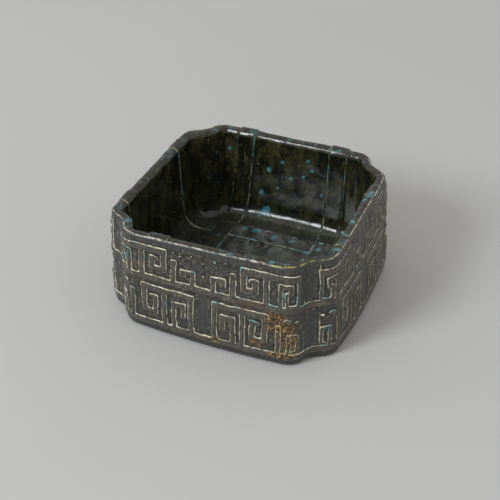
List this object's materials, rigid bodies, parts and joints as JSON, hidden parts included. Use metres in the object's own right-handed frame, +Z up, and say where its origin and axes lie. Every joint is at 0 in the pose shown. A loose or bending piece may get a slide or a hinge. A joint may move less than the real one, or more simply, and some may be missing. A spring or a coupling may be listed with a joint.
{
  "type": "square brush washer",
  "caption": "Square glazed stoneware dish with indented corners, raised straps over the rim and floor, and a square fret moulded on the outer walls; holds water for rinsing brushes.",
  "frame": {"origin": "middle of the underside, where the dish stands", "axes": "+Z up out of the dish, -Y towards the front face of the picture, +X to the right of that face"},
  "size_m": [0.1526, 0.1454, 0.0694],
  "materials": {
    "glaze": "gloss"
  },
  "bodies": {
    "root": {"brush_washer": "glaze"}
  },
  "joints": []
}
